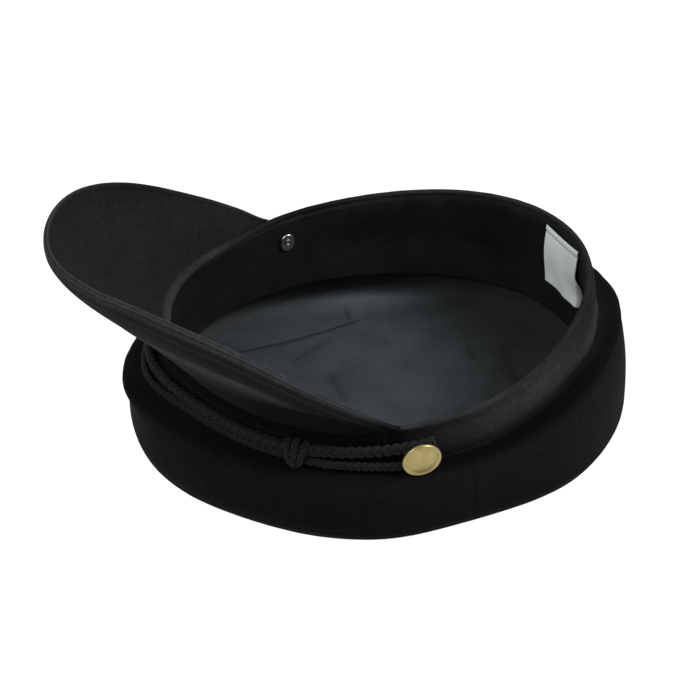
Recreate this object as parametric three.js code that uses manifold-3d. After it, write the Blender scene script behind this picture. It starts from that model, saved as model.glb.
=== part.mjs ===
import * as THREE from "three";
import Module from "manifold-3d";
import * as BufferGeometryUtils from "three/addons/utils/BufferGeometryUtils.js";

// Kepi-style peaked cap, lying upside down on the flat top of its crown.
// Millimetres. Origin: centre of the crown's flat top, on the floor. +Z runs up to the head opening,
// -Y to the peak, +X to the side that shows the nearer button.

// Head opening and its rim
const headHalfLength = 100;
const headHalfWidth = 88;
const rimHeight = 62.3;
const rimFrontDip = 6.4;
const rimSideDip = 3.7;
const rimSaddle = 2.2;
const rimTwist = 0.9;

// Cloth and gaps
const gap = 0.3;
const sweatThickness = 1.2;
const bandThickness = 1.5;
const crownThickness = 1.6;
const liningThickness = 1.0;

// Band, sweatband and crown
const sweatDepth = 43;
const seamHeight = 39;
const seamFollow = 0.95;
const crownBulge = 19.3;
const crownBulgeFrontBack = 3;
const crownFlatOffset = 5;
const crownWidestHeight = 13.5;
const crownWidestFront = 4.5;
const crownRoundness = 2.4;
const crownSquareness = 1.5;
const crownSquareAngle = -22;
const crownPanelHeight = 10;
const liningTopHeight = 34;

// Peak
const peakHalfAngle = 76;
const peakReach = 51.5;
const peakRise = 63.3;
const peakThickness = 3;
const peakBow = 3.5;
const peakBowSkew = 3;
const peakBowEdge = 0.6;
const peakSettleShare = 0.76;
const peakEndShare = 0.96;

// Buttons, cord and label
const buttonAngle = 80.7;
const buttonHeight = 46.2;
const buttonSway = 1.35;
const buttonDiameter = 18;
const buttonThickness = 3.2;
const buttonStandoff = 7.6;
const shankDiameter = 5;
const backDiameter = 8;
const backThickness = 1.2;
const cordDiameter = 5.2;
const knotAngle = 50.8;
const knotHeight = 43.5;
const knotTall = 13;
const knotLong = 9;
const knotDeep = 7;
const labelAngle = 186.6;
const labelWidth = 30;
const labelLength = 33;
const labelThickness = 0.5;
const labelDrop = 3;
const labelTilt = 1.2;

// Counts of steps
const ringSteps = 54;
const peakSteps = 44;
const cordSteps = 39;
const cordSides = 8;

const headOuter = sweatThickness + gap + bandThickness;

// Sway of the head opening from a true oval: share of its size that each wave round it adds
const headSway = [
  { waves: 1, sine: -0.009, cosine: 0 },
  { waves: 2, sine: 0.011, cosine: 0 },
  { waves: 3, sine: -0.017, cosine: -0.023 },
];

// Edge of the peak: share of its half width, then shares of its reach and rise
const peakEdge = [
  { along: 0.0, out: 1.0, up: 1.0 },
  { along: 0.1, out: 0.969, up: 1.006 },
  { along: 0.2, out: 0.891, up: 1.006 },
  { along: 0.3, out: 0.777, up: 0.981 },
  { along: 0.4, out: 0.643, up: 0.91 },
  { along: 0.5, out: 0.509, up: 0.798 },
  { along: 0.6, out: 0.398, up: 0.657 },
  { along: 0.7, out: 0.32, up: 0.498 },
  { along: 0.8, out: 0.249, up: 0.327 },
  { along: 0.9, out: 0.142, up: 0.161 },
  { along: 1.0, out: 0.0, up: 0.0 },
];

// Cord: share of the button's angle, then both strands' heights above the seam and the lower one's
// way outward, as shares of the cord's diameter
const cordRun = [
  { along: 0.0, upper: 1.8, lower: 0.84, lowerOut: 0 },
  { along: 0.3, upper: 1.8, lower: 0.84, lowerOut: 0 },
  { along: 0.52, upper: 1.72, lower: 0.78, lowerOut: 0 },
  { along: 0.61, upper: 1.6, lower: 0.78, lowerOut: 0 },
  { along: 0.7, upper: 1.78, lower: 0.68, lowerOut: 0.12 },
  { along: 0.85, upper: 1.9, lower: 0.66, lowerOut: 0.3 },
  { along: 0.93, upper: 1.95, lower: 0.68, lowerOut: 0.2 },
  { along: 0.98, upper: 1.9, lower: 0.78, lowerOut: 0.08 },
];

const paint = (color, roughness, metalness) =>
  new THREE.MeshStandardMaterial({ color, roughness, metalness });
const finishes = {
  cloth: paint(0x17171a, 0.95, 0),
  sweatCloth: paint(0x1b1b1f, 0.85, 0),
  lining: paint(0x3b3f42, 0.6, 0),
  cord: paint(0x1c1c1f, 0.8, 0),
  gold: paint(0xc8ab6a, 0.35, 1),
  steel: paint(0xb4b6b8, 0.35, 1),
  label: paint(0xd9dddb, 0.55, 0),
};

const radians = (degrees) => (degrees * Math.PI) / 180;

function swayAt(angle) {
  let sway = 0;
  for (const wave of headSway) {
    sway += wave.sine * Math.sin(wave.waves * angle) + wave.cosine * Math.cos(wave.waves * angle);
  }
  return sway;
}

// Point at an angle from the front, at an offset outside the head opening's oval
function station(angle, offset, height, share = 1) {
  const swell = 1 + swayAt(angle);
  return [
    (headHalfWidth * swell + offset) * share * Math.sin(angle),
    -(headHalfLength * swell + offset) * share * Math.cos(angle),
    height,
  ];
}

// The way from the swayed oval back to the true one
function evenOffset(angle) {
  return (-swayAt(angle) * (headHalfWidth + headHalfLength)) / 2;
}

function evenRim(angle) {
  return rimHeight - rimFrontDip * Math.cos(angle) + rimSaddle * Math.cos(2 * angle);
}

function rimAt(angle) {
  return evenRim(angle) - rimSideDip * Math.sin(angle) + rimTwist * Math.sin(2 * angle);
}

function seamAt(angle) {
  return seamHeight + seamFollow * (evenRim(angle) - evenRim(Math.PI / 2));
}

// Smooth curve through the rows of a table
function fromTable(rows, key, value, at) {
  let i = 0;
  while (i < rows.length - 2 && rows[i + 1][key] < at) i += 1;
  const a = rows[Math.max(i - 1, 0)][value];
  const b = rows[i][value];
  const c = rows[i + 1][value];
  const d = rows[Math.min(i + 2, rows.length - 1)][value];
  const t = (at - rows[i][key]) / (rows[i + 1][key] - rows[i][key]);
  const lean = -a + 3 * b - 3 * c + d;
  return 0.5 * (2 * b + (c - a) * t + (2 * a - 5 * b + 4 * c - d) * t * t + lean * t * t * t);
}

// Closed mesh from loops of points: wrapped round, or capped at both ends
function closedMesh(name, loops, wrap, finish) {
  const positions = [];
  const places = new Map();
  const index = [];
  const put = (p) => {
    const key = p.map((v) => Math.round(v * 1e4)).join(",");
    if (!places.has(key)) {
      places.set(key, positions.length / 3);
      positions.push(...p);
    }
    return places.get(key);
  };
  const ids = loops.map((loop) => loop.map(put));
  const triangle = (a, b, c) => {
    if (a !== b && b !== c && c !== a) index.push(a, b, c);
  };
  const size = loops[0].length;
  const spans = wrap ? loops.length : loops.length - 1;
  for (let i = 0; i < spans; i += 1) {
    const here = ids[i];
    const next = ids[(i + 1) % loops.length];
    for (let j = 0; j < size; j += 1) {
      const k = (j + 1) % size;
      triangle(here[j], next[j], next[k]);
      triangle(here[j], next[k], here[k]);
    }
  }
  if (!wrap) {
    for (let j = 1; j < size / 2; j += 1) {
      const first = ids[0];
      const last = ids[ids.length - 1];
      triangle(first[j - 1], first[j], first[size - 1 - j]);
      triangle(first[j - 1], first[size - 1 - j], first[size - j]);
      triangle(last[j - 1], last[size - 1 - j], last[j]);
      triangle(last[j - 1], last[size - j], last[size - 1 - j]);
    }
  }
  let volume = 0;
  const at = (i) => new THREE.Vector3().fromArray(positions, 3 * i);
  for (let i = 0; i < index.length; i += 3) {
    volume += at(index[i]).dot(at(index[i + 1]).cross(at(index[i + 2])));
  }
  if (volume < 0) index.reverse();
  const geometry = new THREE.BufferGeometry();
  geometry.setAttribute("position", new THREE.Float32BufferAttribute(positions, 3));
  geometry.setIndex(index);
  const mesh = new THREE.Mesh(geometry, finish);
  mesh.name = name;
  return mesh;
}

// Ring or dish whose profile may change with the angle
function ring(name, finish, profile) {
  const loops = [];
  for (let i = 0; i < ringSteps; i += 1) {
    const angle = (2 * Math.PI * i) / ringSteps;
    loops.push(profile(angle).map((p) => station(angle, p.offset, p.height, p.share ?? 1)));
  }
  return closedMesh(name, loops, true, finish);
}

// Outer line of the crown: offset at an angle and height
function crownOffset(angle, height) {
  const top = seamAt(angle);
  const widest = crownWidestHeight + crownWidestFront * Math.cos(angle);
  const bulge = crownBulge + crownBulgeFrontBack * Math.cos(2 * angle);
  const blend = Math.min(height / top, 1);
  const even = evenOffset(angle) * (1 - blend * blend);
  if (height < widest) {
    const down = (widest - height) / widest;
    return even + crownFlatOffset + (bulge - crownFlatOffset) * Math.sqrt(1 - down * down);
  }
  const up = Math.min((height - widest) / (top - widest), 1);
  const turned = Math.cos(angle - radians(crownSquareAngle));
  const square = crownRoundness + crownSquareness * turned * turned;
  const round = Math.pow(1 - Math.pow(up, square), 1 / square);
  return even + headOuter + (bulge - headOuter) * round;
}

// Band of cloth between two heights of the crown's line, set in by an inset
function crownWall(angle, low, high, inset, thickness, steps) {
  const top = seamAt(angle);
  const step = 0.02 * top;
  const outer = [];
  const inner = [];
  for (let i = 0; i <= steps; i += 1) {
    const share = 0.5 - 0.5 * Math.cos((Math.PI * i) / steps);
    const height = low + (high - low) * share;
    const below = Math.max(height - step, 0);
    const above = Math.min(height + step, top);
    const run = crownOffset(angle, above) - crownOffset(angle, below);
    const length = Math.hypot(run, above - below);
    const across = (above - below) / length;
    const lift = run / length;
    const offset = crownOffset(angle, height);
    const depth = inset + thickness;
    outer.push({ offset: offset - inset * across, height: height + inset * lift });
    inner.push({ offset: offset - depth * across, height: height + depth * lift });
  }
  return outer.concat(inner.reverse());
}

// Disc under a wall, joined to it at its lower edge
function dish(angle, wall, low, thickness) {
  const edge = crownFlatOffset + evenOffset(angle) - 1;
  return [
    { offset: 0, height: low, share: 0 },
    { offset: edge, height: low, share: 0.5 },
    { offset: edge, height: low },
    ...wall,
    { offset: edge, height: low + thickness },
    { offset: edge, height: low + thickness, share: 0.5 },
    { offset: 0, height: low + thickness, share: 0 },
  ];
}

const crownTop = ring("crown_top", finishes.cloth, (angle) =>
  dish(angle, crownWall(angle, 0.25, crownPanelHeight - gap / 2, 0, crownThickness, 4), 0, crownThickness));

const crownSide = ring("crown_side", finishes.cloth, (angle) =>
  crownWall(angle, crownPanelHeight + gap / 2, seamAt(angle) - gap, 0, crownThickness, 9));

const liningInset = crownThickness + 2.5 * gap;
const liningFloor = crownThickness + gap;
const crownLining = ring("crown_lining", finishes.lining, (angle) =>
  dish(angle, crownWall(angle, 3, liningTopHeight, liningInset, liningThickness, 5), liningFloor, liningThickness));

const band = ring("band", finishes.cloth, (angle) => {
  const low = seamAt(angle);
  const high = rimAt(angle);
  const mid = (low + high) / 2;
  const inside = headOuter - bandThickness;
  return [
    { offset: headOuter, height: low },
    { offset: headOuter, height: mid },
    { offset: headOuter, height: high - 0.4 },
    { offset: headOuter - 0.4, height: high },
    { offset: inside, height: high },
    { offset: inside, height: mid },
    { offset: inside, height: low },
  ];
});

const sweatband = ring("sweatband", finishes.sweatCloth, (angle) => {
  const high = rimAt(angle);
  const low = rimHeight - sweatDepth;
  const third = (high - low) / 3;
  return [
    { offset: sweatThickness, height: low },
    { offset: sweatThickness, height: low + third },
    { offset: sweatThickness, height: high - third },
    { offset: sweatThickness, height: high - 0.3 },
    { offset: sweatThickness / 2, height: high },
    { offset: 0, height: high - 0.3 },
    { offset: 0, height: high - third },
    { offset: 0, height: low + third },
    { offset: 0, height: low },
  ];
});

// Both faces of the peak at one share of its half width
function peakLoop(share) {
  const side = Math.abs(share);
  const angle = radians(peakHalfAngle * share);
  const reach = peakReach * fromTable(peakEdge, "along", "out", side);
  const rise = peakRise * fromTable(peakEdge, "along", "up", side);
  const base = headOuter;
  const root = rimAt(angle) + gap;
  const settle = Math.max(side - peakSettleShare, 0) / (1 - peakSettleShare);
  const ease = settle * settle * (3 - 2 * settle);
  const tip = evenRim(angle) + rise + (root - evenRim(angle)) * ease;
  const length = Math.hypot(reach, tip - root);
  const across = (tip - root) / length;
  const drop = -reach / length;
  const bow = peakBow * Math.pow(Math.min(length / peakRise, 1), 1.6);
  const turns = peakBowSkew + peakBowEdge;
  const most = Math.pow(peakBowSkew / turns, peakBowSkew) * Math.pow(peakBowEdge / turns, peakBowEdge);
  const steps = 7;
  const outer = [];
  const inner = [];
  for (let i = 0; i <= steps; i += 1) {
    const t = i / steps;
    const half = (peakThickness / 2) * (i === steps ? 0.45 : 1);
    const lift = (bow * Math.pow(t, peakBowSkew) * Math.pow(1 - t, peakBowEdge)) / most;
    const offset = base + (reach + evenOffset(angle)) * t;
    const height = root + (tip - root) * t;
    const fall = i === 0 ? 0 : drop;
    outer.push([offset + (lift + half) * across, height + (lift + half) * fall]);
    inner.push([offset + (lift - half) * across, height + (lift - half) * fall]);
  }
  outer[0] = [headOuter + peakThickness / 2, root];
  inner[0] = [headOuter - peakThickness / 2, root];
  return outer.concat(inner.reverse()).map((p) => station(angle, p[0], p[1]));
}

const peakLoops = [];
for (let i = 0; i <= peakSteps; i += 1) {
  peakLoops.push(peakLoop(peakEndShare * ((2 * i) / peakSteps - 1)));
}
const peak = closedMesh("peak", peakLoops, false, finishes.cloth);

// Place a round part on the wall, its own +Z turned outward
function onWall(mesh, angle, offset, height) {
  const near = new THREE.Vector3(...station(angle - 0.03, offset, 0));
  const run = new THREE.Vector3(...station(angle + 0.03, offset, 0)).sub(near);
  const normal = new THREE.Vector3(run.y, -run.x, 0).normalize();
  mesh.quaternion.setFromUnitVectors(new THREE.Vector3(0, 0, 1), normal);
  mesh.position.set(...station(angle, offset, height));
  return mesh;
}

function turned(name, points, steps, finish) {
  const geometry = new THREE.LatheGeometry(points.map((p) => new THREE.Vector2(p[0], p[1])), steps);
  geometry.rotateX(Math.PI / 2);
  const mesh = new THREE.Mesh(geometry, finish);
  mesh.name = name;
  return mesh;
}

function buttonAt(name, side) {
  const radius = buttonDiameter / 2;
  const shank = shankDiameter / 2;
  const face = buttonStandoff + buttonThickness;
  const profile = [
    [0, gap],
    [shank, gap],
    [shank, buttonStandoff],
    [radius * 0.92, buttonStandoff],
    [radius, buttonStandoff + buttonThickness * 0.3],
    [radius, buttonStandoff + buttonThickness * 0.55],
    [radius * 0.86, face - buttonThickness * 0.12],
    [radius * 0.45, face],
    [0, face],
  ];
  const button = turned(name, profile, 28, finishes.gold);
  return onWall(button, side * radians(buttonAngle), headOuter, buttonHeight - side * buttonSway);
}

function buttonBackAt(name, side) {
  const radius = backDiameter / 2;
  const profile = [
    [0, -gap - backThickness],
    [radius * 0.6, -gap - backThickness],
    [radius, -gap - backThickness * 0.6],
    [radius, -gap],
    [0, -gap],
  ];
  const back = turned(name, profile, 20, finishes.steel);
  return onWall(back, side * radians(buttonAngle), 0, buttonHeight - side * buttonSway);
}

// One strand of the cord, from button to button round the front
function strand(value, extra) {
  const radius = cordDiameter / 2;
  const reach = (headHalfWidth + headOuter) * radians(buttonAngle);
  const end = 1 - (shankDiameter / 2 + gap + 1.4) / reach;
  const points = [];
  for (let i = 0; i <= cordSteps; i += 1) {
    const share = end * ((2 * i) / cordSteps - 1);
    const side = Math.abs(share);
    const angle = radians(buttonAngle * share);
    const height = seamAt(angle) + cordDiameter * fromTable(cordRun, "along", value, side);
    const further = extra ? cordDiameter * fromTable(cordRun, "along", extra, side) : 0;
    const out = headOuter + gap + radius + further;
    points.push(new THREE.Vector3(...station(angle, out, height)));
  }
  const round = new THREE.Shape();
  round.absarc(0, 0, radius, 0, 2 * Math.PI, false);
  return new THREE.ExtrudeGeometry(round, {
    steps: cordSteps,
    curveSegments: cordSides / 2,
    extrudePath: new THREE.CatmullRomCurve3(points),
  });
}

function knot(side) {
  const lump = new THREE.SphereGeometry(0.5, 12, 8);
  lump.scale(knotDeep, knotLong, knotTall);
  const mesh = new THREE.Mesh(lump);
  const angle = side * radians(knotAngle);
  mesh.rotation.z = Math.atan2(-Math.cos(angle) * headHalfWidth, Math.sin(angle) * headHalfLength);
  mesh.position.set(...station(angle, headOuter + gap + knotDeep / 2, knotHeight));
  mesh.updateMatrixWorld(true);
  return lump.applyMatrix4(mesh.matrixWorld);
}

async function joined(name, geometries) {
  const wasm = await Module();
  wasm.setup();
  let whole = null;
  for (const geometry of geometries) {
    const bare = geometry.clone();
    bare.deleteAttribute("normal");
    bare.deleteAttribute("uv");
    const merged = BufferGeometryUtils.mergeVertices(bare, 1e-4);
    const solid = new wasm.Manifold(new wasm.Mesh({
      numProp: 3,
      vertProperties: new Float32Array(merged.attributes.position.array),
      triVerts: new Uint32Array(merged.index.array),
    }));
    whole = whole ? whole.add(solid) : solid;
  }
  const out = whole.getMesh();
  const geometry = new THREE.BufferGeometry();
  geometry.setAttribute("position", new THREE.Float32BufferAttribute(out.vertProperties, 3));
  geometry.setIndex(Array.from(out.triVerts));
  const mesh = new THREE.Mesh(geometry, finishes.cord);
  mesh.name = name;
  return mesh;
}

const cord = await joined("braided_cord", [strand("upper", null), strand("lower", "lowerOut"), knot(1), knot(-1)]);

// Label sewn under the rim at the centre back, hanging down inside
function labelLoops() {
  const loops = [];
  const steps = 6;
  const halfAngle = labelWidth / 2 / headHalfWidth;
  for (let i = 0; i <= steps; i += 1) {
    const angle = radians(labelAngle) + halfAngle * ((2 * i) / steps - 1);
    const high = rimAt(angle) - labelDrop - labelTilt * ((2 * i) / steps - 1);
    const low = high - labelLength;
    const mid = (high + low) / 2;
    const near = -gap;
    const far = -gap - labelThickness;
    loops.push([
      station(angle, near, low),
      station(angle, near, mid),
      station(angle, near, high),
      station(angle, far, high),
      station(angle, far, mid),
      station(angle, far, low),
    ]);
  }
  return loops;
}

const cap = new THREE.Group();
cap.name = "kepi_cap";
cap.add(crownTop, crownSide, crownLining, band, sweatband, peak, cord);
cap.add(buttonAt("button_right", 1), buttonAt("button_left", -1));
cap.add(buttonBackAt("button_back_right", 1), buttonBackAt("button_back_left", -1));
cap.add(closedMesh("label", labelLoops(), false, finishes.label));

export default cap;
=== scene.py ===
import math
import bpy
import numpy as np
from mathutils import Matrix, Vector, noise


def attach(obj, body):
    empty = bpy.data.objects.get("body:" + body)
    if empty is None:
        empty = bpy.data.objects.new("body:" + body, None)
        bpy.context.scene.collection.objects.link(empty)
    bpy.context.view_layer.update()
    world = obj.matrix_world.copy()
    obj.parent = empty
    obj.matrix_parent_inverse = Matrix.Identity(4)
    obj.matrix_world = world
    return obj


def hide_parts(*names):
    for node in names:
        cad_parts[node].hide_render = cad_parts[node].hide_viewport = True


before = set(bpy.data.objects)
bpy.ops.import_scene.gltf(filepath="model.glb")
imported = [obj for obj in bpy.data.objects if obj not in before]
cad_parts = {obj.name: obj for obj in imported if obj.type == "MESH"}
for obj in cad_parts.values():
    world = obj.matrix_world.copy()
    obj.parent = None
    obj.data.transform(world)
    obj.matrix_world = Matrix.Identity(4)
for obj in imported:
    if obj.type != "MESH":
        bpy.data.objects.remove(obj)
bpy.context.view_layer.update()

MM = 0.001
TURN = 2 * math.pi

# Steps round a ring of cloth and round the lining
RING_STEPS = 720
LINING_STEPS = 480

# Sizes shared with the solids, in millimetres
HALF_LENGTH = 100.0
HALF_WIDTH = 88.0
RIM_HEIGHT = 62.3
RIM_FRONT_DIP = 6.4
RIM_SIDE_DIP = 3.7
RIM_SADDLE = 2.2
RIM_TWIST = 0.9
BAND_OUTER = 3.0
SEAM_HEIGHT = 39.0
SEAM_FOLLOW = 0.95
CROWN_BULGE = 19.3
CROWN_BULGE_FRONT_BACK = 3.0
CROWN_FLAT = 5.0
CROWN_WIDEST = 13.5
CROWN_WIDEST_FRONT = 4.5
CROWN_ROUNDNESS = 2.4
CROWN_SQUARENESS = 1.5
CROWN_SQUARE_ANGLE = -22.0
PANEL_HEIGHT = 10.0
CROWN_THICKNESS = 1.6
SWEAT_DEPTH = 43.0
LINING_FLOOR = 2.9
PEAK_HALF_ANGLE = 76.0
PEAK_REACH = 51.5
PEAK_RISE = 63.3
PEAK_THICKNESS = 3.0
PEAK_BOW = 3.5
PEAK_BOW_SKEW = 3.0
PEAK_BOW_EDGE = 0.6
PEAK_SETTLE = 0.76
BUTTON_ANGLE = 80.7
BUTTON_HEIGHT = 46.2
BUTTON_SWAY = 1.35
BUTTON_RADIUS = 9.0
BUTTON_STANDOFF = 7.6
BUTTON_THICKNESS = 3.2
CORD_DIAMETER = 5.2
KNOT_ANGLE = 50.8
LABEL_ANGLE = 186.6
LABEL_DROP = 3.0
LABEL_TILT = 1.2
LABEL_WIDTH = 30.0
LABEL_LENGTH = 33.0

# Looser places of the sewn buttons and the soft crown, in degrees and millimetres
BUTTON_TILT = 7.0
BUTTON_FORWARD = 2.4
BUTTON_RAISE = 0.6
FAR_BUTTON_SAG = 1.4
BACK_TALL = 1.22
CROWN_HOLD_FROM = 60.0
CROWN_HOLD_FULL = 100.0
CROWN_HOLD_DEPTH = 5.0

PEAK_EDGE = np.array([
    # share of half width, share of reach, share of rise
    (0.0, 1.0, 1.0),
    (0.1, 0.969, 1.006),
    (0.2, 0.891, 1.006),
    (0.3, 0.777, 0.981),
    (0.4, 0.643, 0.9),
    (0.5, 0.509, 0.783),
    (0.6, 0.398, 0.64),
    (0.7, 0.32, 0.483),
    (0.8, 0.249, 0.327),
    (0.9, 0.142, 0.161),
    (1.0, 0.0, 0.0),
])

HEAD_SWAY = (
    # waves round the opening, sine and cosine as shares of its size
    (1, -0.009, 0.0),
    (2, 0.011, 0.0),
    (3, -0.017, -0.023),
)

CORD_RUN = np.array([
    # share of the button's angle, upper and lower height over the seam, lower strand's way outward
    (0.0, 1.8, 0.84, 0.0),
    (0.3, 1.8, 0.84, 0.0),
    (0.52, 1.72, 0.78, 0.0),
    (0.61, 1.6, 0.78, 0.0),
    (0.7, 1.78, 0.62, 0.15),
    (0.78, 1.83, 0.64, 0.28),
    (0.85, 1.9, 0.6, 0.4),
    (0.93, 1.95, 0.46, 0.45),
    (0.98, 1.95, 0.48, 0.4),
    (1.08, 2.1, 0.8, 0.1),
])


# Camera, as the photograph was taken
def place_camera():
    azimuth = math.radians(68.2)
    elevation = math.radians(34.8)
    roll = math.radians(0.38)
    distance = 1.0
    pixels_per_metre = 2086.5
    frame_width = 700.0
    target = Vector((0.0, 0.0, 0.035))
    target_at = (380.1, 347.1)
    back = Vector((
        math.sin(azimuth) * math.cos(elevation),
        -math.cos(azimuth) * math.cos(elevation),
        math.sin(elevation),
    ))
    right = Vector((math.cos(azimuth), math.sin(azimuth), 0.0))
    up = back.cross(right)
    right, up = right * math.cos(roll) + up * math.sin(roll), up * math.cos(roll) - right * math.sin(roll)
    place = target + back * distance
    half = frame_width / 2
    aim = -back * pixels_per_metre * distance
    aim = aim + right * (half - target_at[0]) - up * (half - target_at[1])
    aim.normalize()
    back = -aim
    right = up.cross(back).normalized()
    up = back.cross(right)
    camera = bpy.data.objects.new("camera", bpy.data.cameras.new("camera"))
    bpy.context.scene.collection.objects.link(camera)
    camera.data.sensor_width = 36.0
    camera.data.lens = 36.0 * pixels_per_metre * distance / frame_width
    camera.matrix_world = Matrix((
        (right.x, up.x, back.x, place.x),
        (right.y, up.y, back.y, place.y),
        (right.z, up.z, back.z, place.z),
        (0, 0, 0, 1),
    ))
    bpy.context.scene.camera = camera


place_camera()


# Curves and fields
def smooth(x, low, high):
    t = np.clip((np.asarray(x, float) - low) / (high - low), 0.0, 1.0)
    return t * t * (3 - 2 * t)


def bell(x, centre, width):
    return np.exp(-(((np.asarray(x, float) - centre) / width) ** 2))


def turn_away(angle, degrees):
    return np.angle(np.exp(1j * (angle - math.radians(degrees))))


def round_bell(angle, degrees, width):
    return bell(np.degrees(turn_away(angle, degrees)), 0.0, width)


def from_table(rows, column, at):
    at = np.asarray(at, float)
    keys = rows[:, 0]
    i = np.clip(np.searchsorted(keys, at, side="left") - 1, 0, len(keys) - 2)
    values = rows[:, column]
    a = values[np.maximum(i - 1, 0)]
    b = values[i]
    c = values[i + 1]
    d = values[np.minimum(i + 2, len(keys) - 1)]
    t = (at - keys[i]) / (keys[i + 1] - keys[i])
    lean = -a + 3 * b - 3 * c + d
    return 0.5 * (2 * b + (c - a) * t + (2 * a - 5 * b + 4 * c - d) * t * t + lean * t ** 3)


def fuzz(points, scale, seed=0.0):
    shift = Vector((seed * 7.31, seed * 3.17, seed * 5.53))
    flat = np.asarray(points, float).reshape(-1, 3) / scale
    out = np.fromiter((noise.noise(Vector(p) + shift) for p in flat), float, len(flat))
    return out.reshape(np.asarray(points).shape[:-1])


def wall_fuzz(arc, height, tall, scale, seed):
    return fuzz(np.stack([arc, height * tall, np.zeros_like(height)], axis=-1), scale, seed)


def even_rim(angle):
    return RIM_HEIGHT - RIM_FRONT_DIP * np.cos(angle) + RIM_SADDLE * np.cos(2 * angle)


def rim_at(angle):
    return even_rim(angle) - RIM_SIDE_DIP * np.sin(angle) + RIM_TWIST * np.sin(2 * angle)


def seam_at(angle):
    return SEAM_HEIGHT + SEAM_FOLLOW * (even_rim(angle) - even_rim(math.pi / 2))


def sway_at(angle):
    return sum(a * np.sin(n * angle) + b * np.cos(n * angle) for n, a, b in HEAD_SWAY)


def even_offset(angle):
    return -sway_at(angle) * (HALF_WIDTH + HALF_LENGTH) / 2


CLOTH_GIVE = (
    # angle, half width in degrees, height, half height, millimetres outward, millimetres down
    (-17.0, 24.0, 59.3, 13.0, 2.7, 0.0),
    (-61.0, 14.0, 59.3, 13.0, -0.4, 2.3),
    (-115.0, 35.0, 59.3, 13.0, 0.0, -0.4),
    (-10.0, 24.0, 41.0, 10.0, 6.2, 0.0),
    (-4.0, 13.0, 40.0, 5.0, 3.2, 0.0),
    (172.0, 12.0, 42.0, 9.0, 2.4, 0.0),
    (100.0, 14.0, 40.0, 11.0, 2.0, 0.0),
    (124.0, 14.0, 40.0, 11.0, 2.2, 0.0),
    (143.0, 9.0, 40.0, 11.0, 1.6, 0.0),
    (158.0, 20.0, 40.0, 11.0, 6.4, 0.0),
    (-140.0, 20.0, 40.0, 11.0, 3.0, 0.0),
    (-105.0, 18.0, 40.0, 11.0, 2.0, 0.0),
)


def cloth_give(angle, height):
    out = 0.0
    down = 0.0
    for place, wide, middle, tall, further, lower in CLOTH_GIVE:
        near = bell(height, middle, tall) * round_bell(angle, place, wide)
        out = out + further * near
        down = down + lower * near
    return out, down


def station(angle, offset, height, share=1.0):
    angle, offset, height, share = np.broadcast_arrays(angle, offset, height, share)
    swell = 1 + sway_at(angle)
    out, down = cloth_give(angle, height)
    offset = offset + out
    height = height - down
    x = (HALF_WIDTH * swell + offset) * share * np.sin(angle)
    y = -(HALF_LENGTH * swell + offset) * share * np.cos(angle)
    return np.stack([x, y, height], axis=-1)


def crown_offset(angle, height):
    top = seam_at(angle)
    widest = CROWN_WIDEST + CROWN_WIDEST_FRONT * np.cos(angle)
    bulge = CROWN_BULGE + CROWN_BULGE_FRONT_BACK * np.cos(2 * angle)
    blend = np.clip(height / top, 0, 1)
    even = even_offset(angle) * (1 - blend * blend)
    down = np.clip((widest - height) / widest, 0, 1)
    low = CROWN_FLAT + (bulge - CROWN_FLAT) * np.sqrt(1 - down * down)
    up = np.clip((height - widest) / (top - widest), 0, 1)
    square = CROWN_ROUNDNESS + CROWN_SQUARENESS * np.cos(angle - math.radians(CROWN_SQUARE_ANGLE)) ** 2
    high = BAND_OUTER + (bulge - BAND_OUTER) * (1 - up ** square) ** (1 / square)
    flare, _ = cloth_give(angle, height)
    hold = smooth(np.abs(np.degrees(turn_away(angle, 0.0))), CROWN_HOLD_FROM, CROWN_HOLD_FULL)
    hold = hold * (1 - smooth(height, top - CROWN_HOLD_DEPTH, top))
    return even + np.where(height < widest, low, high) - flare * hold


# Meshes from grids
def mesh_object(name, points, faces, uvs=None, material=None, replaces=(), painted_light_and_shade=None):
    mesh = bpy.data.meshes.new(name)
    mesh.from_pydata((np.asarray(points, float) * MM).tolist(), [], faces)
    mesh.validate()
    mesh.update()
    if uvs is not None:
        layer = mesh.uv_layers.new(name="UVMap")
        corner = np.empty(len(mesh.loops), dtype=np.int32)
        mesh.loops.foreach_get("vertex_index", corner)
        layer.data.foreach_set("uv", np.asarray(uvs, float)[corner].ravel())
    # painted light and shade per point, multiplied into the base colour
    shade = np.ones(len(points)) if painted_light_and_shade is None else np.asarray(painted_light_and_shade, float).ravel()
    mesh.attributes.new("painted_light_and_shade", "FLOAT", "POINT").data.foreach_set("value", shade)
    for polygon in mesh.polygons:
        polygon.use_smooth = True
    piece = bpy.data.objects.new(name, mesh)
    bpy.context.scene.collection.objects.link(piece)
    if material is not None:
        mesh.materials.append(material)
    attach(piece, "root")
    if replaces:
        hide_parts(*replaces)
    return piece


def grid_faces(rows, columns, wrap_rows, wrap_columns, start=0):
    i = np.arange(rows if wrap_rows else rows - 1)
    j = np.arange(columns if wrap_columns else columns - 1)
    i, j = np.meshgrid(i, j, indexing="ij")
    n = (i + 1) % rows
    m = (j + 1) % columns
    quads = np.stack([i * columns + j, n * columns + j, n * columns + m, i * columns + m], axis=-1)
    return (quads.reshape(-1, 4) + start).tolist()


def grid_uvs(grid):
    across = np.linalg.norm(np.diff(grid, axis=1, prepend=grid[:, :1]), axis=-1).cumsum(axis=1)
    along = np.linalg.norm(np.diff(grid, axis=0, prepend=grid[:1]), axis=-1)
    along = along.mean(axis=1).cumsum()
    return np.stack([np.broadcast_to(along[:, None], across.shape), across], axis=-1).reshape(-1, 2) * MM


def signed(points, faces):
    p = np.asarray(points, float)
    total = 0.0
    for f in faces[:: max(1, len(faces) // 4000)]:
        total += np.dot(p[f[0]], np.cross(p[f[1]], p[f[2]]))
    return total


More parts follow.
